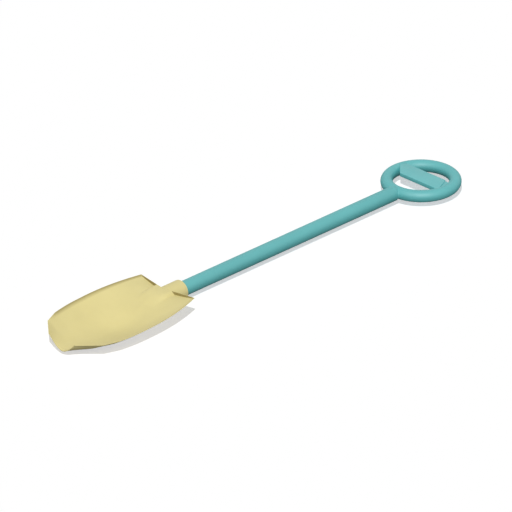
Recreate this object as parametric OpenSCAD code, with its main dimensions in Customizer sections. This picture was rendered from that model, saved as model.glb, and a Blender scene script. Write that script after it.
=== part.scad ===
// Children's long sand shovel: a moulded scoop on a straight tube, with a ring handle and a grip bar.
// Millimetres, +Z up. X runs along the shaft from the scoop to the ring, Y runs across.
// The origin is under the middle of the overall length, level with the lowest point of the scoop.

/* [Overall] */
// Length from the front edge of the scoop to the far side of the ring
overall_length = 642.6; // [580:0.2:720]
// Height of the shaft's centre line above the lowest point of the scoop
axis_height = 16.5; // [15:0.5:19]

/* [Scoop outline] */
// Length from the front edge to the rear corners
scoop_length = 174.2; // [160:0.2:200]
// Width across the widest part
scoop_width = 113.4; // [108:0.2:130]
// Width across the two rear corners
rear_width = 87.4; // [80:0.2:100]
// Width across the corners where the nose begins
nose_width = 106; // [100:0.2:112]
// Length from the front edge to the corners where the nose begins
nose_length = 41.3; // [35:0.1:50]
// Width across the corners half way down the nose
shoulder_width = 90.8; // [80:0.2:98]
// Length from the front edge to the corners half way down the nose
shoulder_length = 22; // [15:0.5:28]
// Width of the open front edge
front_width = 43.4; // [36:0.2:60]
// How much further back the rear corners lie than the rear edge at the neck
rear_sweep = 8; // [0:0.5:10]

/* [Scoop heights] */
// Height of the rim above the centre line at the front edge
rim_front_rise = 5.2; // [2:0.1:8]
// Height of the rim above the centre line at the rear edge
rim_rear_rise = 12.4; // [10:0.1:14]
// Depth of the front edge's underside below the centre line
front_drop = 9.7; // [7:0.1:13]
// Height of the inner floor above the centre line at the rear wall
rear_floor_rise = 8.8; // [5:0.1:10]
// Wall of the scoop
scoop_wall = 2; // [1.6:0.1:3]
// Thickness of the thinned front edge
front_edge = 1; // [0.8:0.1:1.6]
// Height of the turned-up lip along each side
lip_height = 1.5; // [1:0.1:3]
// Width of the lip's flat top
lip_wall = 0.4; // [0.4:0.1:2]
// Slope of the lip's inner face, as a width
lip_draft = 2.2; // [0.3:0.1:3]
// Depth of the outer face that shows below the rim
lip_face = 0.4; // [0.4:0.1:1.6]

/* [Socket] */
// Length of socket that stands out behind the rear corners
socket_overhang = 21; // [15:1:35]
// Wall of the socket
socket_wall = 3.4; // [2.6:0.1:4]
// Gap all round between the shaft and the socket's bore
socket_clearance = 0.1; // [0.05:0.05:0.2]
// Depth of the bore from the socket's mouth
socket_depth = 33; // [28:1:34]
// Width of the moulded neck where it meets the rear wall
neck_width = 32; // [28:1:40]

/* [Shaft] */
// Outside diameter of the shaft tube
shaft_d = 18; // [16:0.1:18.6]
// Wall of the shaft tube
shaft_wall = 2; // [1.5:0.1:3]
// Length of the plug inside the scoop end of the tube
plug_length = 30; // [26:1:60]
// Gap all round between the tube's bore and what is pushed into it
plug_clearance = 0.05; // [0.05:0.05:0.2]

/* [Ring handle] */
// Outside diameter of the ring
ring_outer_d = 95.4; // [84:0.2:110]
// Diameter of the ring's round section
ring_section_d = 14.6; // [13:0.1:16]
// Length of the stub between the tube's end and the ring
stub_length = 3; // [1:0.5:12]
// Length over which the stub's end tapers down into the ring
taper_length = 6.5; // [4:0.5:9]
// Diameter of the stub's end at the middle of the ring's section
taper_end_d = 13; // [10:0.5:14]
// Length of the spigot inside the tube
spigot_length = 36; // [30:1:60]

/* [Grip bar] */
// Width of the bar along the shaft
bar_width = 23.5; // [20:0.5:26]
// Thickness of the bar
bar_thick = 4.9; // [3:0.1:5.5]
// Depth of the bar's top face below the top of the ring
bar_top_drop = 0.4; // [0.2:0.1:2]
// Distance by which the bar's buried ends stop short of the middle of the ring's section
bar_short = 1; // [0:0.1:2]
// Length cut off the front corner at the bar's left end, along the bar
left_cut_length = 16.5; // [8:0.5:18]
// Width that this cut leaves of the bar's left end
left_end_width = 7; // [4:0.5:14]
// Length cut off the back corner at the bar's right end, along the bar
right_cut_length = 11; // [6:0.5:18]
// Width that this cut leaves of the bar's right end
right_end_width = 0.5; // [0.5:0.5:12]
// Thickness of the ledge that stays below the right end's cut
ledge_thick = 3.4; // [1.5:0.1:4.4]
// Gap all round between the bar and its pockets in the ring
bar_clearance = 0.05; // [0.05:0.05:0.2]

/* [Screws] */
// Diameter of the screw's shank
screw_d = 3.5; // [3:0.1:4]
// Diameter of the screw's countersunk head
screw_head_d = 6.6; // [6:0.1:7.2]
// Length of the shank beyond the head
screw_length = 12; // [10:0.5:13]
// Depth of the head's face below the round wall it is sunk into
screw_sink = 0.7; // [0.6:0.1:1]
// Gap all round the shank and the head
screw_clearance = 0.1; // [0.05:0.05:0.2]
// Width of the slots across the screw's head
drive_slot = 0.9; // [0.7:0.1:1.2]
// Depth of the slots across the screw's head
drive_depth = 1; // [0.6:0.1:1.2]

/* [Hidden] */
scoop_colour = [0.91, 0.85, 0.55];
handle_colour = [0.36, 0.68, 0.68];
bar_colour = [0.40, 0.72, 0.72];
plug_colour = [0.55, 0.60, 0.60];
screw_colour = [0.72, 0.73, 0.75];
// Steps of a full circle
round_fn = 96;
// Shares of the scoop's length between which the sides stand at full width
full_from_share = 0.46;
full_to_share = 0.53;
// Share of the scoop's length at which the belly is lowest
belly_share = 0.45;
// Share of the scoop's length behind which the floor stands at its rear height
ramp_share = 0.94;
// Shares of the scoop's length where the neck starts to sink and where it has run out
neck_start_share = 0.95;
neck_end_share = 0.79;
// Share of the scoop's length over which the front edge thickens to the full wall
edge_share = 0.12;
// Share of the scoop's length over which the side lip grows behind the shoulder corners
lip_share = 0.14;
// Share of the lip's height that is lost on the way to the rear corners
corner_share = 0.35;
// Share of the wall that is left out beside the lip
thin_share = 0.6;
// Exponents of the floor's section at the front edge, at the belly and at the rear wall
front_power = 1.7;
belly_power = 1.6;
rear_power = 3;
// Exponents that round the neck's section where it runs out and at the rear wall
neck_out_power = 2;
neck_rear_power = 8;
// Exponent that rounds the keel under the neck
keel_power = 0.75;
// Largest share of the width that the grid's inner columns take
inner_share = 0.5;
// Length of the screw's slots as a share of its head
slot_share = 0.6;
// Slope of the lip's inner face where the lip has run out at the nose, as a width
front_draft = 0.3;
// Slope of the rear wall's inner face, as a width
rear_draft = 0.5;
// Depth by which the neck's fairing lies inside the socket's round wall
neck_inset = 0.2;
// Width by which the keel under the neck flares out beyond the socket on each side
keel_flare = 2.5;
// Gap between the end of the tube and the bottom of the bore
bore_gap = 0.5;
// Length by which a cut runs past the face it starts from
overrun = 1;
// Grid steps of the scoop: across the neck, from there to the rim, and along each stretch
neck_steps = 5;
side_steps = 6;
nose_steps = 3;
front_steps = 6;
rear_steps = 13;

shaft_r = shaft_d / 2;
bore_r = shaft_r + socket_clearance;
socket_r = bore_r + socket_wall;
front_x = -overall_length / 2;
mouth_x = front_x + scoop_length + socket_overhang;
bore_x = mouth_x - socket_depth;
tube_x = bore_x + bore_gap;
ring_r = (ring_outer_d - ring_section_d) / 2;
section_r = ring_section_d / 2;
ring_x = overall_length / 2 - ring_outer_d / 2;
seam_x = ring_x - ring_outer_d / 2 - stub_length;
bar_top_rise = section_r - bar_top_drop;
bar_length = 2 * (ring_r - bar_short);
keel_half = socket_r + keel_flare;
neck_half = neck_width / 2;
taper_x = ring_x - ring_r - taper_length;
left_cut_width = bar_width - left_end_width;
right_cut_width = bar_width - right_end_width;
plug_r = shaft_r - shaft_wall - plug_clearance;
socket_screw_x = mouth_x - socket_depth / 2;
handle_screw_x = seam_x - spigot_length / 2;
socket_face = socket_r - screw_sink;
handle_face = shaft_r - screw_sink;
head_height = (screw_head_d - screw_d) / 2;

shoulder_share = shoulder_length / scoop_length;
nose_share = nose_length / scoop_length;
front_floor = front_edge - front_drop;
belly_floor = scoop_wall - axis_height;

function smooth(a) = let(b = min(1, max(0, a))) b * b * (3 - 2 * b);
function blend(a, b, t) = a + (b - a) * t;

// Half width of the outline at a share of the length from the front edge
function side_half(x) = x > full_to_share
    ? blend(scoop_width, rear_width, pow((x - full_to_share) / (1 - full_to_share), 2)) / 2
    : blend(scoop_width, nose_width,
        pow(max(0, full_from_share - x) / (full_from_share - nose_share), 2)) / 2;
function nose_half(x) = x < shoulder_share
    ? blend(front_width, shoulder_width, x / shoulder_share) / 2
    : blend(shoulder_width, nose_width, (x - shoulder_share) / (nose_share - shoulder_share)) / 2;
function half_width(x) = x < nose_share ? nose_half(x) : side_half(x);

// Heights above the centre line
function rim_rise(x) = blend(rim_front_rise, rim_rear_rise, x);
function wall_at(x) = blend(front_edge, scoop_wall, smooth(x / edge_share));
function lip_at(x) = lip_height * smooth((x - shoulder_share) / lip_share)
    * (1 - smooth((x - belly_share) / (1 - belly_share)) * corner_share);
function floor_mid(x) = x < belly_share
    ? blend(front_floor, belly_floor, smooth(x / belly_share))
    : blend(belly_floor, rear_floor_rise, smooth((x - belly_share) / (ramp_share - belly_share)));
function power_at(x) = x < belly_share
    ? blend(front_power, belly_power, smooth(x / belly_share))
    : blend(belly_power, rear_power, smooth((x - belly_share) / (1 - belly_share)));
function lip_wall_at(x) = blend(front_edge, lip_wall, smooth(x / nose_share));
function draft_at(x) = blend(front_draft, lip_draft, smooth((x - shoulder_share) / lip_share));
function foot_half(x) = half_width(x) - lip_wall_at(x) - draft_at(x);
function floor_rise(x, y) = let(e = min(1, abs(y) / foot_half(x)))
    blend(floor_mid(x), rim_rise(x) - lip_at(x), pow(e, power_at(x)));
function neck_fall(x) = smooth((x - neck_end_share) / (neck_start_share - neck_end_share));
function neck_power(x) = blend(neck_out_power, neck_rear_power,
    smooth((x - neck_end_share) / (1 - neck_end_share)));
function neck_round(x, y) = max(0, 1 - pow(abs(y) / neck_half, neck_power(x)));
function keel_round(y) = pow(max(0, 1 - pow(y / keel_half, 2)), keel_power);
function top_rise(x, y) = floor_rise(x, y)
    + max(0, socket_r - neck_inset - floor_mid(x)) * neck_fall(x) * neck_round(x, y);
function under_rise(x, y) = let(e = min(1, abs(y) / foot_half(x)))
    floor_rise(x, y) - wall_at(x) * (1 - thin_share * pow(e, 4))
    - (x > belly_share ? max(0, floor_mid(x) - wall_at(x) + socket_r - neck_inset) * keel_round(y) : 0);

// Places across one half of the scoop, from the middle to the lip's foot
function inner_half(x) = min(neck_half, foot_half(x) * inner_share);
function across(x) = concat(
    [for (i = [0:neck_steps]) inner_half(x) * i / neck_steps],
    [for (i = [1:side_steps]) blend(inner_half(x), foot_half(x), i / side_steps)]);
// One row of the grid: [place across, top, underside]
function half_row(x, lifted) =
    let(w = half_width(x), lip = lip_wall_at(x), draft = draft_at(x), rim = rim_rise(x), low = rim - lip_face)
    concat(
        [for (y = across(x)) [y, lifted ? max(rim, top_rise(x, y)) : top_rise(x, y), under_rise(x, y)]],
        [[w - lip, rim, blend(under_rise(x, foot_half(x)), low, draft / (lip + draft))]],
        [[w, rim, low]]);
function full_row(x, lifted) = let(h = half_row(x, lifted), n = len(h) - 1) concat(
    [for (i = [n:-1:1]) [-h[i][0], h[i][1], h[i][2]]],
    h);

rear_foot_share = 1 - (lip_wall + rear_draft) / scoop_length;
rear_top_share = 1 - lip_wall / scoop_length;
stations = concat(
    [for (i = [0:nose_steps - 1]) [shoulder_share * i / nose_steps, false]],
    [for (i = [0:nose_steps - 1]) [blend(shoulder_share, nose_share, i / nose_steps), false]],
    [for (i = [0:front_steps - 1]) [blend(nose_share, belly_share, i / front_steps), false]],
    [for (i = [0:rear_steps]) [blend(belly_share, rear_foot_share, i / rear_steps), false]],
    [[rear_top_share, true], [1, true]]);
function place(x, y) = front_x + x * (scoop_length - rear_sweep * (1 - abs(y) / half_width(x)) * smooth(x));
rows = [for (s = stations) full_row(s[0], s[1])];
columns = len(rows[0]);
row_count = len(rows);
// Index of a grid point: the top points come first, then the underside's
function top_at(r, c) = r * columns + c;
function under_at(r, c) = row_count * columns + r * columns + c;

module scoop_shell() {
    points = concat(
        [for (r = [0:row_count - 1]) for (p = rows[r])
            [place(stations[r][0], p[0]), p[0], axis_height + p[1]]],
        [for (r = [0:row_count - 1]) for (p = rows[r])
            [place(stations[r][0], p[0]), p[0], axis_height + p[2]]]);
    last_r = row_count - 1;
    last_c = columns - 1;
    tops = [for (r = [0:last_r - 1]) for (c = [0:last_c - 1]) each [
        [top_at(r, c), top_at(r, c + 1), top_at(r + 1, c)],
        [top_at(r + 1, c), top_at(r, c + 1), top_at(r + 1, c + 1)]]];
    unders = [for (r = [0:last_r - 1]) for (c = [0:last_c - 1]) each [
        [under_at(r, c), under_at(r + 1, c), under_at(r, c + 1)],
        [under_at(r + 1, c), under_at(r + 1, c + 1), under_at(r, c + 1)]]];
    sides = [for (r = [0:last_r - 1]) each [
        [top_at(r, 0), top_at(r + 1, 0), under_at(r + 1, 0)],
        [top_at(r, 0), under_at(r + 1, 0), under_at(r, 0)],
        [top_at(r, last_c), under_at(r + 1, last_c), top_at(r + 1, last_c)],
        [top_at(r, last_c), under_at(r, last_c), under_at(r + 1, last_c)]]];
    ends = [for (c = [0:last_c - 1]) each [
        [top_at(0, c), under_at(0, c), under_at(0, c + 1)],
        [top_at(0, c), under_at(0, c + 1), top_at(0, c + 1)],
        [top_at(last_r, c), under_at(last_r, c + 1), under_at(last_r, c)],
        [top_at(last_r, c), top_at(last_r, c + 1), under_at(last_r, c + 1)]]];
    polyhedron(points, concat(tops, unders, sides, ends));
}

// A round bar along the shaft's centre line from one place to another
module along(from_x, to_x, r) {
    translate([from_x, 0, axis_height]) rotate([0, 90, 0])
        cylinder(h = to_x - from_x, r = r, $fn = round_fn);
}

// A screw driven upwards, with its head's face at a depth below the centre line.
// For its hole, grow widens it, and the runs lengthen it past the head and past the tip.
module screw(x, face_drop, grow, head_run, tip_run) {
    head_r = screw_head_d / 2 + grow;
    shank_r = screw_d / 2 + grow;
    translate([x, 0, axis_height - face_drop]) {
        cylinder(h = head_height, r1 = head_r, r2 = shank_r, $fn = round_fn);
        cylinder(h = head_height + screw_length + tip_run, r = shank_r, $fn = round_fn);
        if (head_run > 0)
            translate([0, 0, -head_run]) cylinder(h = head_run, r = head_r, $fn = round_fn);
    }
}
module driven_screw(x, face_drop) {
    color(screw_colour) difference() {
        screw(x, face_drop, 0, 0, 0);
        for (turn = [0, 90])
            translate([x, 0, axis_height - face_drop]) rotate([0, 0, turn])
                cube([screw_head_d * slot_share, drive_slot, 2 * drive_depth], center = true);
    }
}
module screw_hole(x, face_drop) {
    screw(x, face_drop, screw_clearance, screw_sink + overrun, screw_clearance);
}

module scoop_blade() {
    color(scoop_colour) difference() {
        union() {
            scoop_shell();
            along(front_x + neck_start_share * scoop_length, mouth_x, socket_r);
        }
        along(bore_x, mouth_x + overrun, bore_r);
        screw_hole(socket_screw_x, socket_face);
    }
}
module shaft_tube() {
    color(handle_colour) difference() {
        along(tube_x, seam_x, shaft_r);
        along(tube_x - overrun, seam_x + overrun, shaft_r - shaft_wall);
        screw_hole(socket_screw_x, socket_face);
        screw_hole(handle_screw_x, handle_face);
    }
}
module shaft_plug() {
    color(plug_colour) difference() {
        along(tube_x, tube_x + plug_length, plug_r);
        screw_hole(socket_screw_x, socket_face);
    }
}
// How much a cut corner's two sides lengthen when the bar's outline grows all round
function cut_growth(cut_length, cut_width, grow) =
    1 + grow / cut_length + grow / cut_width - grow * norm([1 / cut_length, 1 / cut_width]);
module bar_block(grow) {
    half_l = bar_length / 2 + grow;
    half_w = bar_width / 2 + grow;
    left = cut_growth(left_cut_length, left_cut_width, grow);
    right = cut_growth(right_cut_length, right_cut_width, grow);
    left_end = [
        [-half_w, -half_l], [-half_w, half_l - left_cut_length * left],
        [left_cut_width * left - half_w, half_l], [half_w, half_l]];
    right_cut = [[half_w, right_cut_length * right - half_l], [half_w - right_cut_width * right, -half_l]];
    translate([ring_x, 0, axis_height + bar_top_rise - bar_thick - grow]) {
        linear_extrude(height = bar_thick + 2 * grow) polygon(concat(left_end, right_cut));
        linear_extrude(height = ledge_thick + 2 * grow) polygon(concat(left_end, [[half_w, -half_l]]));
    }
}
module ring_handle() {
    color(handle_colour) difference() {
        union() {
            translate([ring_x, 0, axis_height])
                rotate_extrude($fn = round_fn) translate([ring_r, 0]) circle(r = section_r, $fn = round_fn);
            along(seam_x, taper_x, shaft_r);
            translate([taper_x, 0, axis_height]) rotate([0, 90, 0])
                cylinder(h = taper_length, r1 = shaft_r, r2 = taper_end_d / 2, $fn = round_fn);
            along(seam_x - spigot_length, seam_x + overrun, plug_r);
        }
        bar_block(bar_clearance);
        screw_hole(handle_screw_x, handle_face);
    }
}
module grip_bar() {
    color(bar_colour) bar_block(0);
}
module socket_screw() {
    driven_screw(socket_screw_x, socket_face);
}
module handle_screw() {
    driven_screw(handle_screw_x, handle_face);
}

scoop_blade();
shaft_tube();
shaft_plug();
ring_handle();
grip_bar();
socket_screw();
handle_screw();
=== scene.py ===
import math

import bmesh
import bpy
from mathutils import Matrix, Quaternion, Vector


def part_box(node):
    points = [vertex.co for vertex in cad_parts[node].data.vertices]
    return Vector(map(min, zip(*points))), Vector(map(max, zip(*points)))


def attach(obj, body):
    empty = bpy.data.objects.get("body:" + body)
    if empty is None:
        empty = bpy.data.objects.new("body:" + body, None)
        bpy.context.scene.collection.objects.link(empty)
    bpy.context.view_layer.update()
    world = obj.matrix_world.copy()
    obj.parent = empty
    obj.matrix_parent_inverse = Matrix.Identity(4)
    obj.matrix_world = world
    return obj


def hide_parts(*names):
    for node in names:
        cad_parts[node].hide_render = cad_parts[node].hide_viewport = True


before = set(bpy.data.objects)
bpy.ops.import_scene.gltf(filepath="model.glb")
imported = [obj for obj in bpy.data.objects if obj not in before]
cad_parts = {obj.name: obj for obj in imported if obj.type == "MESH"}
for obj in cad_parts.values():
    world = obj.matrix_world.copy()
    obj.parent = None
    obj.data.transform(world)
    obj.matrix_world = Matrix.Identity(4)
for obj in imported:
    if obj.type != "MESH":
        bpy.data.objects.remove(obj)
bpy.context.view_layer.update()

bl_info = {
    "name": "Sand shovel",
    "version": (1, 0, 0),
    "blender": (4, 5, 0),
    "location": "3D View > Sidebar > Sand shovel",
    "description": "Dresses the packed sand shovel and sets its stage",
    "category": "Add Mesh",
}

SCOOP_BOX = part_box("scoop_blade")
TUBE_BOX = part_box("shaft_tube")
PLUG_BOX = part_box("shaft_plug")
RING_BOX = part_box("ring_handle")
BAR_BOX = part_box("grip_bar")
SOCKET_SCREW_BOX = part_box("socket_screw")
HANDLE_SCREW_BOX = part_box("handle_screw")
BODY = "root"
AXIS_HEIGHT = (TUBE_BOX[0].z + TUBE_BOX[1].z) / 2
SHAFT_RADIUS = (TUBE_BOX[1].z - TUBE_BOX[0].z) / 2
PLUG_RADIUS = (PLUG_BOX[1].z - PLUG_BOX[0].z) / 2

# ---- Fixed counts, angles and shares

PAINTED_SHADE = "painted_shade"        # the attribute that holds how much painted shade a place gets in the creases
MERGE_GAP = 0.00001      # metres: points closer than this are one point
SHAFT_SIDES = 128        # facets round the shaft and everything in line with it
RING_SIDES = 192         # facets round the ring
SECTION_SIDES = 64       # facets round the ring's section
SINK_SIDES = 48          # facets round the screw's countersink
HOLE_SIDES = 32          # facets round the screw's hole
RIM_SEGMENTS = 2         # steps of the rounding of the scoop's rim
EDGE_SEGMENTS = 3        # steps of the rounding of the mouth's and the bar's edges
BROKEN_FROM = 40         # degrees: sharper edges of the scoop's shell are broken
SCOOP_CRISP = 38         # degrees: sharper edges stay crisp in the scoop's shading
HANDLE_CRISP = 35        # degrees: the same for the ring handle and the grip bar
END_FACING = 0.9         # share along the shaft above which a normal belongs to an end face
WALL_FACING = -0.5       # share along the shaft below which it belongs to the rear wall
UNDER_FACING = -0.2      # share upwards below which it belongs to the underside
LIP_FACING = 0.1         # share inwards above which it belongs to the lip's inner face
SWEEP_ROUNDS = 3         # rounds that find how far along the swept outline a point lies
PLASTIC_IOR = 1.9        # refractive index of the plastic's surface
CLOUD_SCALE = 22.0       # how many clouds of colour fit into a metre of plastic
RUB_SCALE = 90.0         # the same for rubbed patches
GRAIN_SCALE = 1400.0     # the same for the grain
CLOUD_RANGE = (0.35, 0.65)    # noise values between which a cloud goes from deep to pale
RUB_RANGE = (0.3, 0.7)        # noise values between which the roughness goes from low to high
RUB_DOWN = 0.04          # how far a rubbed patch takes the roughness below its value
RUB_UP = 0.05            # how far the places between them take it above
TURNING_SCALE = 3000.0   # how many turning marks fit into a metre of steel
TURNING_DEPTH = 0.00001  # metres: depth of a turning mark
STEEL_ROUGH = (0.24, 0.38)    # lowest and highest roughness of the steel
SENSOR_WIDTH = 36.0      # millimetres: width of the camera's sensor
SIGHT = 100.0            # metres: how far the camera sees
WHITE = (1.0, 1.0, 1.0)
FILL_TINT = (1.0, 1.0, 1.04)  # colour of the light that evens out the floor


# ---- Sizes that a user can change

def length(name, description, default):
    """One length, in metres, that a user can change in the sidebar."""
    return bpy.props.FloatProperty(
        name=name, description=description, default=default, min=0.0, precision=5, unit="LENGTH")


def share(name, description, default):
    """One share of another size."""
    return bpy.props.FloatProperty(
        name=name, description=description, default=default, min=0.0, max=1.0, subtype="FACTOR")


def exponent(name, description, default):
    """One power that rounds a section."""
    return bpy.props.FloatProperty(name=name, description=description, default=default, min=0.1)


def steps(name, description, default):
    """One count of grid steps."""
    return bpy.props.IntProperty(name=name, description=description, default=default, min=1)


def colour(name, description, default):
    """One scene-linear colour."""
    return bpy.props.FloatVectorProperty(
        name=name, description=description, default=default, size=3, min=0.0, max=1.0,
        subtype="COLOR")


class ScoopSizes(bpy.types.PropertyGroup):
    """Sizes of the moulded scoop."""
    scoop_length: length("Length", "From the front edge to the rear corners", 0.1742)
    scoop_width: length("Width", "Across the widest part", SCOOP_BOX[1].y - SCOOP_BOX[0].y)
    rear_width: length("Rear width", "Across the two rear corners", 0.0874)
    nose_width: length("Nose width", "Across the corners where the nose begins", 0.106)
    nose_length: length("Nose length", "From the front edge to those corners", 0.0413)
    shoulder_width: length("Shoulder width", "Across the corners half way down the nose", 0.0908)
    shoulder_length: length("Shoulder length", "From the front edge to those corners", 0.022)
    front_width: length("Front width", "Of the open front edge", 0.0434)
    rear_sweep: length("Rear sweep", "How far the rear corners lie behind the neck", 0.008)
    rim_front_rise: length("Front rim rise", "Of the front rim above the centre line", 0.0052)
    rim_rear_rise: length("Rear rim rise", "Of the rear rim above the centre line", 0.0124)
    front_drop: length("Front drop", "Of the front edge's underside below the centre line", 0.0097)
    rear_floor_rise: length("Rear floor rise", "Of the inner floor above the centre line", 0.0088)
    wall: length("Wall", "Of the scoop", 0.002)
    front_edge: length("Front edge", "Thickness of the thinned front edge", 0.001)
    lip_height: length("Lip height", "Of the turned-up lip along each side", 0.0015)
    lip_wall: length("Lip wall", "Width of the lip's flat top", 0.0004)
    lip_face: length("Lip face", "Depth of the lip's outer face", 0.0004)
    lip_draft: length("Lip draft", "Slope of the lip's inner face, as a width", 0.0022)
    front_draft: length("Front draft", "The same slope where the lip has run out", 0.0003)
    rear_draft: length("Rear draft", "Slope of the rear wall's inner face, as a width", 0.0005)
    neck_width: length("Neck width", "Of the moulded neck at the rear wall", 0.032)
    neck_inset: length("Neck inset", "Of the neck's fairing inside the socket's wall", 0.00005)
    keel_flare: length("Keel flare", "Width of the keel beyond the socket on each side", 0.0025)
    socket_radius: length("Socket radius", "Outside radius of the socket", 0.0125)
    bore_radius: length("Bore radius", "Of the socket's bore", SHAFT_RADIUS + 0.0001)
    bore_depth: length("Bore depth", "From the socket's mouth", 0.033)
    mouth_chamfer: length("Mouth rounding", "Of the socket's outer mouth edge", 0.0005)
    rim_rounding: length("Rim rounding", "Radius that breaks the rim's edges", 0.00015)
    # Painted shade along the side lip: how wide it fades out over the floor, how strong it is at
    # the lip's foot, and how strong on the near side
    shade_fade_width: length("Painted shade fade", "Width over which the floor deepens towards the lip", 0.0012)
    shade_at_foot: share("Painted shade at foot", "How far the crease has faded at the foot of the lip", 0.42)
    near_side_shade: share("Near painted shade", "Strength of the crease along the right side", 0.25)
    screw_recess: length("Screw recess", "Radius of the screw's countersink", 0.0034)
    full_from: share("Full width from", "Share of the length where the full width begins", 0.46)
    full_to: share("Full width to", "Share of the length where the full width ends", 0.53)
    belly: share("Belly", "Share of the length at which the belly is lowest", 0.45)
    ramp: share("Ramp end", "Share of the length where the floor stops rising", 0.94)
    neck_start: share("Neck start", "Share of the length where the neck starts to sink", 0.95)
    neck_end: share("Neck end", "Share of the length where the neck has run out", 0.79)
    edge_run: share("Edge run", "Share of the length over which the front edge thickens", 0.12)
    lip_run: share("Lip run", "Share of the length over which the side lip grows", 0.14)
    corner_loss: share("Corner loss", "Share of the lip's height lost on the way to the rear", 0.35)
    thin_side: share("Thin side", "Share of the wall left out beside the lip", 0.6)
    inner_limit: share("Inner limit", "Largest share of the width for the inner columns", 0.5)
    front_power: exponent("Front power", "Of the floor's section at the front", 1.7)
    belly_power: exponent("Belly power", "Of the floor's section at the belly", 1.6)
    rear_power: exponent("Rear power", "Of the floor's section at the rear", 3.0)
    neck_out_power: exponent("Neck run-out power", "Of the neck's section where it runs out", 2.0)
    neck_rear_power: exponent("Neck rear power", "Of the neck's section at the rear", 8.0)
    keel_power: exponent("Keel power", "Of the keel's rounding", 0.75)
    neck_steps: steps("Neck steps", "Grid steps across half the neck", 10)
    side_steps: steps("Side steps", "Grid steps from the neck to the lip", 14)
    nose_steps: steps("Nose steps", "Grid steps along each half of the nose", 5)
    front_steps: steps("Front steps", "Grid steps from the nose to the belly", 14)
    rear_steps: steps("Rear steps", "Grid steps from the belly to the rear wall", 40)


class HandleSizes(bpy.types.PropertyGroup):
    """Sizes of the ring handle, its stub and the grip bar."""
    ring_radius: length("Ring radius", "Of the middle line of the ring", 0.0404)
    section_radius: length("Section radius", "Of the ring's round section", 0.0073)
    taper_length: length("Taper length", "Over which the stub's end sinks into the ring", 0.0065)
    taper_end: length("Taper end", "Radius of the stub's end inside the ring", 0.0065)
    voxel: length("Blend grain", "Cell that melts the stub into the ring", 0.00045)
    spigot_length: length("Spigot length", "Inside the tube", 0.036)
    bar_rounding: length("Bar rounding", "Radius that breaks the bar's edges", 0.0003)
    left_cut_length: length("Left cut length", "Off the left front corner, along the bar", 0.0165)
    left_cut_width: length("Left cut width", "Off the same corner, along the shaft", 0.0165)
    right_cut_length: length("Right cut length", "Off the right back corner, along the bar", 0.011)
    right_cut_width: length("Right cut width", "Off the same corner, along the shaft", 0.023)
    ledge: length("Ledge", "Thickness of the ledge left below that cut", 0.0034)
    pocket_gap: length("Pocket gap", "All round the bar in the ring", 0.00005)
    screw_hole: length("Screw hole radius", "In the stub's spigot", 0.00185)
    soften_steps: steps("Softening steps", "Smoothing passes over the blend", 3)


class Finishes(bpy.types.PropertyGroup):
    """Colours and surface values of the finishes."""
    scoop_yellow: colour("Scoop yellow", "Of the moulded scoop", (0.655, 0.57, 0.232))
    ring_teal: colour("Ring teal", "Of the ring handle", (0.0745, 0.401, 0.409))
    tube_teal: colour("Tube teal", "Of the shaft's tube", (0.073, 0.384, 0.391))
    bar_teal: colour("Bar teal", "Of the grip bar", (0.104, 0.445, 0.456))
    plug_grey: colour("Plug grey", "Of the plug inside the tube", (0.26, 0.30, 0.30))
    steel: colour("Steel", "Of the screws", (0.56, 0.57, 0.59))
    scoop_rough: share("Scoop roughness", "Of the scoop's plastic", 0.65)
    handle_rough: share("Handle roughness", "Of the handle's, tube's and bar's plastic", 0.58)
    # Colour of the painted shade in the scoop's creases, not a colour of the plastic
    shade_yellow: colour("Painted shade yellow", "Of the scoop's creases", (0.22, 0.165, 0.02))
    grain: length("Grain", "Depth of the moulded surface's grain", 0.000012)


class StageSizes(bpy.types.PropertyGroup):
    """The camera, the lamps and the floor."""
    lens: bpy.props.FloatProperty(
        name="Lens", description="Focal length in millimetres", default=1650.0, min=1.0)
    view_width: length("View width", "Width of the view at the object", 0.59497)
    aim: bpy.props.FloatVectorProperty(
        name="Aim", description="Point at the middle of the view",
        default=(-0.04533, -0.04306, 0.04671), size=3, subtype="TRANSLATION", unit="LENGTH")
    look: bpy.props.FloatVectorProperty(
        name="Look", description="Direction in which the camera looks",
        default=(0.63625, 0.62883, -0.44694), size=3, subtype="DIRECTION")
    roll: bpy.props.FloatProperty(
        name="Roll", description="Turn of the camera about its line of sight", default=-0.0012,
        subtype="ANGLE")
    lamp_from: bpy.props.FloatVectorProperty(
        name="Lamp from", description="Direction from which the key lamp shines",
        default=(-0.5243, -0.4872, 0.6984), size=3, subtype="DIRECTION")
    key: bpy.props.FloatProperty(
        name="Key lamp", description="Strength of the key lamp", default=1.89, min=0.0)
    key_angle: bpy.props.FloatProperty(
        name="Key angle", description="Width of the key lamp in the sky", default=math.radians(0.5),
        subtype="ANGLE")
    dome: bpy.props.FloatProperty(
        name="Dome", description="Strength of the soft dome", default=0.58, min=0.0)
    bounce: share("Floor bounce", "How bright the floor is for the light it sends back", 0.42)
    mirrored: share("Mirrored floor", "How bright the floor is in the object's reflections", 0.02)
    floor_size: length("Floor size", "Of the square floor", 12.0)


def smooth(a):
    """An S-curve from 0 to 1."""
    b = min(1.0, max(0.0, a))
    return b * b * (3 - 2 * b)


def mix(a, b, t):
    """The value at a share t of the way from a to b."""
    return a + (b - a) * t


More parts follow.
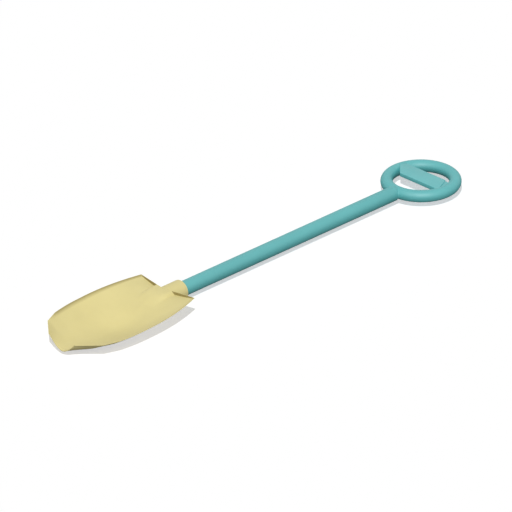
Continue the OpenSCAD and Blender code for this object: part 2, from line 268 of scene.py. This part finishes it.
class ScoopForm:
    """The scoop's outline and heights, each at a share x of its length from the front edge."""

    def __init__(self, sizes):
        self.s = sizes
        self.front_x = SCOOP_BOX[0].x
        self.shoulder = sizes.shoulder_length / sizes.scoop_length
        self.nose = sizes.nose_length / sizes.scoop_length
        self.front_floor = sizes.front_edge - sizes.front_drop
        self.belly_floor = sizes.wall - AXIS_HEIGHT

    def half_width(self, x):
        """Half the width of the outline."""
        s = self.s
        if x < self.shoulder:
            return mix(s.front_width, s.shoulder_width, x / self.shoulder) / 2
        if x < self.nose:
            t = (x - self.shoulder) / (self.nose - self.shoulder)
            return mix(s.shoulder_width, s.nose_width, t) / 2
        if x < s.full_to:
            t = max(0.0, s.full_from - x) / (s.full_from - self.nose)
            return mix(s.scoop_width, s.nose_width, t ** 2) / 2
        return mix(s.scoop_width, s.rear_width, ((x - s.full_to) / (1 - s.full_to)) ** 2) / 2

    def rim(self, x):
        """The rim's height above the centre line of the shaft, as all heights here."""
        return mix(self.s.rim_front_rise, self.s.rim_rear_rise, x)

    def wall(self, x):
        """Thickness of the wall."""
        return mix(self.s.front_edge, self.s.wall, smooth(x / self.s.edge_run))

    def lip(self, x):
        """How far the lip stands above the floor beside it."""
        s = self.s
        rear = smooth((x - s.belly) / (1 - s.belly))
        return s.lip_height * self.grown(x) * (1 - rear * s.corner_loss)

    def floor_mid(self, x):
        """Height of the inner floor in the middle."""
        s = self.s
        if x < s.belly:
            return mix(self.front_floor, self.belly_floor, smooth(x / s.belly))
        return mix(self.belly_floor, s.rear_floor_rise, smooth((x - s.belly) / (s.ramp - s.belly)))

    def power(self, x):
        """Exponent of the floor's section."""
        s = self.s
        if x < s.belly:
            return mix(s.front_power, s.belly_power, smooth(x / s.belly))
        return mix(s.belly_power, s.rear_power, smooth((x - s.belly) / (1 - s.belly)))

    def lip_wall(self, x):
        """Width of the lip's flat top."""
        return mix(self.s.front_edge, self.s.lip_wall, smooth(x / self.nose))

    def grown(self, x):
        """How far the side lip has grown behind the shoulder corners."""
        return smooth((x - self.shoulder) / self.s.lip_run)

    def draft(self, x):
        """Width of the slope on the lip's inner face."""
        return mix(self.s.front_draft, self.s.lip_draft, self.grown(x))

    def foot(self, x):
        """How far from the middle that slope begins."""
        return self.half_width(x) - self.lip_wall(x) - self.draft(x)

    def floor(self, x, y):
        """Height of the inner floor without the neck."""
        e = min(1.0, y / self.foot(x))
        return mix(self.floor_mid(x), self.rim(x) - self.lip(x), e ** self.power(x))

    def neck(self, x, y):
        """How far the neck rises above the floor."""
        s = self.s
        near_wall = smooth((x - s.neck_end) / (1 - s.neck_end))
        power = mix(s.neck_out_power, s.neck_rear_power, near_wall)
        rounding = max(0.0, 1 - (y / (s.neck_width / 2)) ** power)
        fall = smooth((x - s.neck_end) / (s.neck_start - s.neck_end))
        return max(0.0, s.socket_radius - s.neck_inset - self.floor_mid(x)) * fall * rounding

    def top(self, x, y):
        """Height of the upper side."""
        return self.floor(x, y) + self.neck(x, y)

    def under(self, x, y):
        """Height of the underside, with the keel under the neck."""
        s = self.s
        e = min(1.0, y / self.foot(x))
        rise = self.floor(x, y) - self.wall(x) * (1 - s.thin_side * e ** 4)
        if x > s.belly:
            half = s.socket_radius + s.keel_flare
            keel = max(0.0, 1 - (y / half) ** 2) ** s.keel_power
            drop = self.floor_mid(x) - self.wall(x) + s.socket_radius - s.neck_inset
            rise -= max(0.0, drop) * keel
        return rise

    def row(self, x, lifted):
        """Places (across, top, underside) from the middle of the scoop to its rim."""
        s = self.s
        foot, rim = self.foot(x), self.rim(x)
        inner = min(s.neck_width / 2, foot * s.inner_limit)
        across = [inner * i / s.neck_steps for i in range(s.neck_steps + 1)]
        across += [mix(inner, foot, i / s.side_steps) for i in range(1, s.side_steps + 1)]
        low = rim - s.lip_face
        least = rim if lifted else -math.inf
        cells = [(y, max(least, self.top(x, y)), self.under(x, y)) for y in across]
        wide, lip, draft = self.half_width(x), self.lip_wall(x), self.draft(x)
        cells.append((wide - lip, rim, mix(self.under(x, foot), low, draft / (lip + draft))))
        cells.append((wide, rim, low))
        return cells

    def stations(self):
        """Shares of the length at which the rows stand, and whether the rear wall lifts them."""
        s = self.s
        foot = 1 - (s.lip_wall + s.rear_draft) / s.scoop_length
        rows = [(self.shoulder * i / s.nose_steps, False) for i in range(s.nose_steps)]
        for start, end, count in (
                (self.shoulder, self.nose, s.nose_steps), (self.nose, s.belly, s.front_steps),
                (s.belly, foot, s.rear_steps)):
            rows += [(mix(start, end, i / count), False) for i in range(count)]
        rows.append((foot, False))
        return rows + [(1 - s.lip_wall / s.scoop_length, True), (1.0, True)]

    def place(self, x, y, height):
        """The point of the scene at that share, distance from the middle and height."""
        s = self.s
        sweep = s.rear_sweep * (1 - y / self.half_width(x)) * smooth(x)
        return Vector((self.front_x + x * (s.scoop_length - sweep), y, AXIS_HEIGHT + height))


# ---- Modelling helpers

def deselect_all():
    """Leaves edit mode and deselects every object."""
    if bpy.context.object and bpy.context.object.mode != "OBJECT":
        bpy.ops.object.mode_set(mode="OBJECT")
    bpy.ops.object.select_all(action="DESELECT")


def pick(*objects):
    """Selects these objects alone and makes the first one active."""
    deselect_all()
    for o in objects:
        o.select_set(True)
    bpy.context.view_layer.objects.active = objects[0]


def primitive(add, name, **sizes):
    """Adds a primitive at its size and place, with that place in its mesh."""
    deselect_all()
    add(**sizes)
    made = bpy.context.object
    made.name = made.data.name = name
    bpy.ops.object.transform_apply(location=True, rotation=True, scale=True)
    return made


def round_bar(name, from_x, to_x, radius):
    """A closed cylinder along the shaft's centre line."""
    return primitive(
        bpy.ops.mesh.primitive_cylinder_add, name, vertices=SHAFT_SIDES, radius=radius,
        depth=to_x - from_x, location=((from_x + to_x) / 2, 0, AXIS_HEIGHT),
        rotation=(0, math.pi / 2, 0))


def finish_modifier(target, name):
    """Applies the modifier of that name."""
    pick(target)
    bpy.ops.object.modifier_apply(modifier=name)


def combine(target, other, operation):
    """Joins another solid to the target, or cuts it out of the target, and deletes it."""
    step = target.modifiers.new("Combine", "BOOLEAN")
    step.operation = operation
    step.solver = "EXACT"
    step.object = other
    finish_modifier(target, step.name)
    bpy.data.objects.remove(other)


def start_edit(target):
    """Enters edit mode on the target with nothing selected, and returns its mesh."""
    pick(target)
    bpy.ops.object.mode_set(mode="EDIT")
    bpy.ops.mesh.select_all(action="DESELECT")
    return bmesh.from_edit_mesh(target.data)


def close_edit():
    """Leaves edit mode."""
    bpy.ops.object.mode_set(mode="OBJECT")


def shade(target, degrees):
    """Gives the target smooth shading that keeps edges sharper than the angle crisp."""
    pick(target)
    bpy.ops.object.shade_smooth_by_angle(angle=math.radians(degrees))


def wear(piece, node, material):
    """Puts the piece on the body in place of its CAD node, with its finish."""
    piece.data.materials.clear()
    piece.data.materials.append(material)
    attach(piece, BODY)
    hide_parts(node)


# ---- Finishes

def material_named(name):
    """The material of that name, made if it isn't there yet."""
    return bpy.data.materials.get(name) or bpy.data.materials.new(name)


class Shader:
    """A small builder of a material's or a world's node tree."""

    def __init__(self, owner, output="ShaderNodeOutputMaterial"):
        owner.use_nodes = True
        self.owner = owner
        self.tree = owner.node_tree
        self.tree.nodes.clear()
        self.output = self.node(output)

    def node(self, kind, **values):
        """Adds a node and gives its inputs or properties their values."""
        made = self.tree.nodes.new(kind)
        for key, value in values.items():
            if key in made.inputs:
                made.inputs[key].default_value = value
            else:
                setattr(made, key, value)
        return made

    def link(self, source, target):
        """Leads one socket into another."""
        self.tree.links.new(source, target)

    def math(self, operation, a, b):
        """Reckons with two values, each a number or a socket."""
        made = self.node("ShaderNodeMath", operation=operation)
        for socket, value in zip(made.inputs, (a, b)):
            if isinstance(value, (int, float)):
                socket.default_value = value
            else:
                self.link(value, socket)
        return made.outputs[0]

    def noise(self, vector, scale, detail=2.0, roughness=0.5):
        """Adds a soft noise between 0 and 1."""
        made = self.node("ShaderNodeTexNoise", Scale=scale, Detail=detail, Roughness=roughness)
        self.link(vector, made.inputs["Vector"])
        return made.outputs["Fac"]

    def remap(self, source, span, to_low, to_high):
        """Stretches a span of values onto another."""
        made = self.node("ShaderNodeMapRange")
        ends = {"From Min": span[0], "From Max": span[1], "To Min": to_low, "To Max": to_high}
        for key, value in ends.items():
            made.inputs[key].default_value = value
        self.link(source, made.inputs["Value"])
        return made.outputs["Result"]

    def tint(self, fac, a, b):
        """Mixes two colours, of which the first may be a socket."""
        made = self.node("ShaderNodeMix", data_type="RGBA")
        if isinstance(a, bpy.types.NodeSocket):
            self.link(a, made.inputs["A"])
        else:
            made.inputs["A"].default_value = (*a, 1)
        made.inputs["B"].default_value = (*b, 1)
        self.link(fac, made.inputs["Factor"])
        return made.outputs["Result"]

    def finish(self, skin, height, depth):
        """Presses a pattern into the surface, puts the surface on and returns the material."""
        bump = self.node("ShaderNodeBump", Strength=1.0, Distance=depth)
        self.link(height, bump.inputs["Height"])
        self.link(bump.outputs["Normal"], skin.inputs["Normal"])
        self.link(skin.outputs["BSDF"], self.output.inputs["Surface"])
        return self.owner


def shades(base, deeper, paler, lift=0.0):
    """A deep and a pale shade of a colour."""
    return tuple(c * deeper for c in base), tuple(min(1.0, c * paler + lift) for c in base)


def moulded_plastic(name, base, rough, grain_depth, painted_shade=None):
    """Moulded plastic: a faint cloudiness in the colour, a fine grain, soft rubbed patches and
    painted shade where a shade colour is given.
    """
    s = Shader(material_named(name))
    place = s.node("ShaderNodeTexCoord").outputs["Object"]
    cloud = s.noise(place, CLOUD_SCALE, detail=3.0)
    skin = s.node("ShaderNodeBsdfPrincipled", IOR=PLASTIC_IOR)
    deep, pale = shades(base, deeper=0.97, paler=1.03, lift=0.004)
    hue = s.tint(s.remap(cloud, CLOUD_RANGE, 0, 1), deep, pale)
    # Painted shade: the attribute mixes the colour towards the shade colour in the creases
    if painted_shade:
        depth = s.node("ShaderNodeAttribute", attribute_name=PAINTED_SHADE).outputs["Fac"]
        hue = s.tint(depth, hue, painted_shade)
    s.link(hue, skin.inputs["Base Color"])
    rubbed = s.noise(place, RUB_SCALE, detail=4.0, roughness=0.6)
    s.link(s.remap(rubbed, RUB_RANGE, rough - RUB_DOWN, rough + RUB_UP), skin.inputs["Roughness"])
    grain = s.noise(place, GRAIN_SCALE, detail=3.0, roughness=0.55)
    return s.finish(skin, grain, grain_depth)


def brushed_steel(name, base):
    """Bright steel with fine turning marks."""
    s = Shader(material_named(name))
    place = s.node("ShaderNodeTexCoord").outputs["Object"]
    marks = s.noise(place, TURNING_SCALE)
    skin = s.node("ShaderNodeBsdfPrincipled", Metallic=1.0)
    deep, pale = shades(base, deeper=0.9, paler=1.08)
    s.link(s.tint(marks, deep, pale), skin.inputs["Base Color"])
    s.link(s.remap(marks, RUB_RANGE, *STEEL_ROUGH), skin.inputs["Roughness"])
    return s.finish(skin, marks, TURNING_DEPTH)


# ---- Pieces

def half_sheet(name, rows):
    """One skin of half the scoop: a grid whose points are moved to their places row by row."""
    lengthwise, across = len(rows), len(rows[0])
    sheet = primitive(
        bpy.ops.mesh.primitive_grid_add, name, x_subdivisions=lengthwise - 1,
        y_subdivisions=across - 1, size=1, location=(0, 0, 0))
    grid = start_edit(sheet)
    grid.verts.ensure_lookup_table()
    for r, row in enumerate(rows):
        for c, place in enumerate(row):
            point = grid.verts[c * lengthwise + r]
            point.select = True
            bpy.ops.transform.translate(value=place - point.co)
            point.select = False
    close_edit()
    return sheet


def scoop_skin(sizes):
    """The scoop's shell: two skins bridged along the rim, mirrored, and its edges broken."""
    form = ScoopForm(sizes)
    tops, unders = [], []
    for x, lifted in form.stations():
        cells = form.row(x, lifted)
        tops.append([form.place(x, y, top) for y, top, _ in cells])
        unders.append([form.place(x, y, under) for y, _, under in cells])
    top, under = half_sheet("scoop", tops), half_sheet("scoop_under", unders)
    pick(top, under)
    bpy.ops.object.join()
    shell = start_edit(top)
    for edge in shell.edges:
        if edge.is_boundary and max(v.co.y for v in edge.verts) > sizes.rim_rounding:
            edge.select_set(True)
    bpy.ops.mesh.bridge_edge_loops()
    close_edit()
    half = top.modifiers.new("Other half", "MIRROR")
    half.use_axis = (False, True, False)
    half.merge_threshold = MERGE_GAP
    finish_modifier(top, half.name)
    start_edit(top)
    bpy.ops.mesh.select_all(action="SELECT")
    bpy.ops.mesh.remove_doubles(threshold=MERGE_GAP)
    bpy.ops.mesh.normals_make_consistent(inside=False)
    close_edit()
    rim = top.modifiers.new("Rim", "BEVEL")
    rim.width = sizes.rim_rounding
    rim.segments = RIM_SEGMENTS
    rim.limit_method = "ANGLE"
    rim.angle_limit = math.radians(BROKEN_FROM)
    finish_modifier(top, rim.name)
    return top


def paint_crease_shade(scoop, sizes):
    """Stores how much painted shade each place gets along the side lip's inner face and on the rear
    wall's inner face.
    """
    form = ScoopForm(sizes)
    mesh = scoop.data
    marks = mesh.attributes.new(PAINTED_SHADE, "FLOAT", "CORNER")
    wall = sizes.lip_wall + sizes.rear_draft + sizes.rim_rounding
    floor_z = AXIS_HEIGHT + sizes.rear_floor_rise

    def depth(point):
        """How far a point lies inside the outer faces of the side lip and of the rear wall."""
        y, reach = abs(point.y), point.x - form.front_x
        x = reach / sizes.scoop_length
        for _ in range(SWEEP_ROUNDS):
            sweep = sizes.rear_sweep * (1 - min(1.0, y / form.half_width(x))) * smooth(x)
            x = min(1.0, reach / (sizes.scoop_length - sweep))
        return form.half_width(x) - y, (1 - x) * sizes.scoop_length, x

    for face in mesh.polygons:
        centre, normal = face.center, face.normal
        rear, x = depth(centre)[1:]
        inward = -normal.y if centre.y > 0 else normal.y
        on_wall = rear < wall and normal.x < WALL_FACING and centre.z > floor_z
        faces_in = on_wall or inward > LIP_FACING
        if normal.z < UNDER_FACING or not form.shoulder < x < 1 or not faces_in:
            continue
        lip = form.lip_wall(x) + form.draft(x)
        # The painted shade is full on the far side and weaker on the near side
        shade_strength = form.grown(x) * (1.0 if centre.y > 0 else sizes.near_side_shade)
        for loop in face.loop_indices:
            inside = depth(mesh.vertices[mesh.loops[loop].vertex_index].co)[0]
            shade_amount = 0.0
            # Painted shade: the rear wall's inner face is fully dark; along the lip it is strongest
            # at the top, weaker at the foot, and fades out over the floor
            if on_wall:
                shade_amount = 1.0
            elif rear > wall and inside < lip:
                shade_amount = shade_strength * mix(1.0, sizes.shade_at_foot, max(0.0, inside) / lip)
            elif rear > wall:
                fade = max(0.0, 1 - (inside - lip) / sizes.shade_fade_width)
                shade_amount = shade_strength * sizes.shade_at_foot * fade
            marks.data[loop].value = shade_amount


class SHOVEL_OT_scoop(bpy.types.Operator):
    """Model the moulded scoop with its lips, neck and socket"""
    bl_idname = "sand_shovel.scoop"
    bl_label = "Moulded scoop"

    def execute(self, context):
        sizes = context.scene.shovel_scoop
        scoop = scoop_skin(sizes)
        mouth = SCOOP_BOX[1].x
        start = SCOOP_BOX[0].x + sizes.neck_start * sizes.scoop_length
        socket = round_bar("socket", start, mouth, sizes.socket_radius)
        edit = start_edit(socket)
        for edge in edit.edges:
            if all(v.co.x > mouth - sizes.rim_rounding for v in edge.verts):
                edge.select_set(True)
        bpy.ops.mesh.bevel(offset=sizes.mouth_chamfer, segments=EDGE_SEGMENTS)
        close_edit()
        combine(scoop, socket, "UNION")
        depth = sizes.bore_depth
        bore = round_bar("bore", mouth - depth, mouth + depth, sizes.bore_radius)
        combine(scoop, bore, "DIFFERENCE")
        screw_x = (SOCKET_SCREW_BOX[0].x + SOCKET_SCREW_BOX[1].x) / 2
        low = AXIS_HEIGHT - sizes.socket_radius
        sink = primitive(
            bpy.ops.mesh.primitive_cylinder_add, "sink", vertices=SINK_SIDES,
            radius=sizes.screw_recess, depth=2 * (SOCKET_SCREW_BOX[0].z - low),
            location=(screw_x, 0, low))
        combine(scoop, sink, "DIFFERENCE")
        # Paints shade into the scoop's creases, as an attribute that the material reads
        paint_crease_shade(scoop, sizes)
        shade(scoop, SCOOP_CRISP)
        wear(scoop, "scoop_blade", bpy.data.materials["moulded yellow with painted shade"])
        return {"FINISHED"}


def bar_block(name, sizes, grow=0.0):
    """The grip bar's solid with its two cut corners, grown all round."""
    low, high = BAR_BOX
    block = primitive(
        bpy.ops.mesh.primitive_cube_add, name, size=1, location=(low + high) / 2,
        scale=(high - low) + Vector((grow, grow, grow)) * 2)
    left = Vector((-sizes.left_cut_length, sizes.left_cut_width, 0)).normalized()
    start_edit(block)
    bpy.ops.mesh.select_all(action="SELECT")
    bpy.ops.mesh.bisect(
        plane_co=Vector((low.x, high.y - sizes.left_cut_length, 0)) + left * grow, plane_no=left,
        use_fill=True, clear_outer=True)
    close_edit()
    right = Vector((sizes.right_cut_length, -sizes.right_cut_width, 0)).normalized()
    long = high.y - low.y
    middle = Vector((high.x - sizes.right_cut_width / 2, low.y + sizes.right_cut_length / 2, 0))
    above = Vector((0, 0, low.z + sizes.ledge + grow + long / 2))
    notch = primitive(
        bpy.ops.mesh.primitive_cube_add, "notch", size=1, scale=(long, long, long),
        location=middle + right * (grow + long / 2) + above,
        rotation=(0, 0, math.atan2(right.y, right.x)))
    combine(block, notch, "DIFFERENCE")
    return block


class SHOVEL_OT_ring_handle(bpy.types.Operator):
    """Model the ring handle with its stub melted into the ring"""
    bl_idname = "sand_shovel.ring_handle"
    bl_label = "Ring handle"

    def execute(self, context):
        sizes = context.scene.shovel_handle
        seam = TUBE_BOX[1].x
        ring_x = RING_BOX[1].x - sizes.ring_radius - sizes.section_radius
        taper_x = ring_x - sizes.ring_radius - sizes.taper_length
        ring = primitive(
            bpy.ops.mesh.primitive_torus_add, "ring",
            major_segments=RING_SIDES, minor_segments=SECTION_SIDES,
            major_radius=sizes.ring_radius, minor_radius=sizes.section_radius,
            location=(ring_x, 0, AXIS_HEIGHT))
        stub = round_bar("stub", seam - SHAFT_RADIUS, taper_x, SHAFT_RADIUS)
        edit = start_edit(stub)
        for face in edit.faces:
            if face.normal.x > END_FACING:
                face.select_set(True)
        onward = (sizes.taper_length, 0, 0)
        bpy.ops.mesh.extrude_region_move(TRANSFORM_OT_translate={"value": onward})
        shrink = sizes.taper_end / SHAFT_RADIUS
        bpy.ops.transform.resize(
            value=(1, shrink, shrink),
            center_override=(taper_x + sizes.taper_length, 0, AXIS_HEIGHT))
        close_edit()
        combine(ring, stub, "UNION")
        blend = ring.modifiers.new("Blend", "REMESH")
        blend.mode = "VOXEL"
        blend.voxel_size = sizes.voxel
        finish_modifier(ring, blend.name)
        soften = ring.modifiers.new("Soften", "CORRECTIVE_SMOOTH")
        soften.iterations = sizes.soften_steps
        soften.smooth_type = "LENGTH_WEIGHTED"
        soften.use_only_smooth = True
        finish_modifier(ring, soften.name)
        start_edit(ring)
        bpy.ops.mesh.select_all(action="SELECT")
        bpy.ops.mesh.bisect(
            plane_co=(seam, 0, 0), plane_no=(1, 0, 0), use_fill=True, clear_inner=True)
        close_edit()
        inner_end = seam - sizes.spigot_length
        spigot = round_bar("spigot", inner_end, seam + SHAFT_RADIUS / 2, PLUG_RADIUS)
        combine(ring, spigot, "UNION")
        combine(ring, bar_block("pocket", sizes, sizes.pocket_gap), "DIFFERENCE")
        screw_x = (HANDLE_SCREW_BOX[0].x + HANDLE_SCREW_BOX[1].x) / 2
        hole = primitive(
            bpy.ops.mesh.primitive_cylinder_add, "hole", vertices=HOLE_SIDES,
            radius=sizes.screw_hole, depth=HANDLE_SCREW_BOX[1].z - HANDLE_SCREW_BOX[0].z,
            location=(screw_x, 0, (HANDLE_SCREW_BOX[0].z + HANDLE_SCREW_BOX[1].z) / 2))
        combine(ring, hole, "DIFFERENCE")
        shade(ring, HANDLE_CRISP)
        wear(ring, "ring_handle", bpy.data.materials["moulded teal"])
        return {"FINISHED"}


class SHOVEL_OT_grip_bar(bpy.types.Operator):
    """Model the flat grip bar across the ring"""
    bl_idname = "sand_shovel.grip_bar"
    bl_label = "Grip bar"

    def execute(self, context):
        sizes = context.scene.shovel_handle
        bar = bar_block("bar", sizes)
        start_edit(bar)
        bpy.ops.mesh.select_all(action="SELECT")
        bpy.ops.mesh.bevel(offset=sizes.bar_rounding, segments=EDGE_SEGMENTS)
        close_edit()
        shade(bar, HANDLE_CRISP)
        wear(bar, "grip_bar", bpy.data.materials["moulded pale teal"])
        return {"FINISHED"}


class SHOVEL_OT_shaft(bpy.types.Operator):
    """Give the tube, its plug and the screws their finishes"""
    bl_idname = "sand_shovel.shaft"
    bl_label = "Tube, plug and screws"

    def execute(self, context):
        worn = {
            "shaft_tube": "drawn teal", "shaft_plug": "moulded grey",
            "socket_screw": "turned steel", "handle_screw": "turned steel",
        }
        for node, material in worn.items():
            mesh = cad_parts[node].data
            mesh.materials.clear()
            mesh.materials.append(bpy.data.materials[material])
        return {"FINISHED"}


class SHOVEL_OT_finishes(bpy.types.Operator):
    """Make the plastics and the steel"""
    bl_idname = "sand_shovel.finishes"
    bl_label = "Finishes"

    def execute(self, context):
        f = context.scene.shovel_finishes
        moulded_plastic("moulded yellow with painted shade", f.scoop_yellow, f.scoop_rough, f.grain, f.shade_yellow)
        bases = {
            "moulded teal": f.ring_teal, "drawn teal": f.tube_teal,
            "moulded pale teal": f.bar_teal, "moulded grey": f.plug_grey,
        }
        for name, base in bases.items():
            moulded_plastic(name, base, f.handle_rough, f.grain)
        brushed_steel("turned steel", f.steel)
        return {"FINISHED"}


class SHOVEL_OT_stage(bpy.types.Operator):
    """Set up the camera, the soft dome, the key lamp and the pale floor"""
    bl_idname = "sand_shovel.stage"
    bl_label = "Stage"

    def execute(self, context):
        s = context.scene.shovel_stage
        scene = context.scene
        look = Vector(s.look).normalized()
        lens = bpy.data.cameras.new("camera")
        lens.lens = s.lens
        lens.sensor_width = SENSOR_WIDTH
        lens.clip_end = SIGHT
        camera = bpy.data.objects.new("camera", lens)
        distance = s.view_width * s.lens / SENSOR_WIDTH
        camera.location = Vector(s.aim) - look * distance
        upright = look.to_track_quat("-Z", "Y")
        camera.rotation_euler = (upright @ Quaternion((0, 0, 1), s.roll)).to_euler()
        scene.collection.objects.link(camera)
        scene.camera = camera

        key = bpy.data.lights.new("key lamp", "SUN")
        key.energy = s.key
        key.angle = s.key_angle
        lamp = bpy.data.objects.new("key lamp", key)
        lamp.rotation_euler = (-Vector(s.lamp_from)).to_track_quat("-Z", "Y").to_euler()
        scene.collection.objects.link(lamp)

        scene.world = bpy.data.worlds.new("dome")
        w = Shader(scene.world, "ShaderNodeOutputWorld")
        path = w.node("ShaderNodeLightPath").outputs
        seen = w.math("MAXIMUM", path["Is Camera Ray"], path["Is Glossy Ray"])
        seen = w.math("MAXIMUM", seen, path["Is Transmission Ray"])
        sky = w.node("ShaderNodeBackground", Color=(*WHITE, 1.0))
        w.link(w.remap(seen, (0, 1), s.dome, 1.0), sky.inputs["Strength"])
        w.link(sky.outputs[0], w.output.inputs["Surface"])

        floor = primitive(
            bpy.ops.mesh.primitive_plane_add, "floor", size=s.floor_size, location=(0, 0, 0))
        m = Shader(material_named("pale floor"))
        path = m.node("ShaderNodeLightPath").outputs
        seen = m.math("MAXIMUM", path["Is Camera Ray"], path["Is Transmission Ray"])
        unseen = m.tint(path["Is Glossy Ray"], (s.bounce,) * 3, (s.mirrored,) * 3)
        paint = m.node("ShaderNodeBsdfDiffuse")
        m.link(m.tint(seen, unseen, WHITE), paint.inputs["Color"])
        # Where the object hides the dome from the floor, the fill gives that light back to the view
        open_sky = m.node("ShaderNodeAmbientOcclusion", Distance=s.floor_size).outputs["AO"]
        hidden = m.math("SUBTRACT", 1.0, open_sky)
        fill = m.node("ShaderNodeEmission", Color=(*FILL_TINT, 1.0))
        given_back = m.math("MULTIPLY", m.math("MULTIPLY", hidden, s.dome), seen)
        m.link(given_back, fill.inputs["Strength"])
        even = m.node("ShaderNodeAddShader")
        m.link(paint.outputs[0], even.inputs[0])
        m.link(fill.outputs[0], even.inputs[1])
        # From underneath, the floor lets the camera see through it
        backfacing = m.node("ShaderNodeNewGeometry").outputs["Backfacing"]
        below = m.math("MULTIPLY", backfacing, path["Is Camera Ray"])
        blend = m.node("ShaderNodeMixShader")
        m.link(below, blend.inputs["Fac"])
        m.link(even.outputs[0], blend.inputs[1])
        m.link(m.node("ShaderNodeBsdfTransparent").outputs[0], blend.inputs[2])
        m.link(blend.outputs[0], m.output.inputs["Surface"])
        floor.data.materials.append(m.owner)
        scene.view_settings.view_transform = "Standard"
        return {"FINISHED"}


class SHOVEL_PT_panel(bpy.types.Panel):
    """The steps that dress the sand shovel"""
    bl_label = "Sand shovel"
    bl_idname = "SHOVEL_PT_panel"
    bl_space_type = "VIEW_3D"
    bl_region_type = "UI"
    bl_category = "Sand shovel"

    def draw(self, context):
        for step in STEPS:
            self.layout.operator(step.bl_idname)


STEPS = (SHOVEL_OT_stage, SHOVEL_OT_finishes, SHOVEL_OT_scoop, SHOVEL_OT_ring_handle,
         SHOVEL_OT_grip_bar, SHOVEL_OT_shaft)
GROUPS = {
    "shovel_scoop": ScoopSizes, "shovel_handle": HandleSizes,
    "shovel_finishes": Finishes, "shovel_stage": StageSizes,
}
CLASSES = (*GROUPS.values(), *STEPS, SHOVEL_PT_panel)


def register():
    """Registers the classes and hangs the sizes on the scene."""
    for cls in CLASSES:
        bpy.utils.register_class(cls)
    for name, group in GROUPS.items():
        setattr(bpy.types.Scene, name, bpy.props.PointerProperty(type=group))


def unregister():
    """Takes both away again."""
    for name in GROUPS:
        delattr(bpy.types.Scene, name)
    for cls in reversed(CLASSES):
        bpy.utils.unregister_class(cls)


def main():
    """Dresses the shovel."""
    register()
    bpy.ops.sand_shovel.stage()
    bpy.ops.sand_shovel.finishes()
    bpy.ops.sand_shovel.scoop()
    bpy.ops.sand_shovel.ring_handle()
    bpy.ops.sand_shovel.grip_bar()
    bpy.ops.sand_shovel.shaft()


if __name__ == "__main__":
    main()
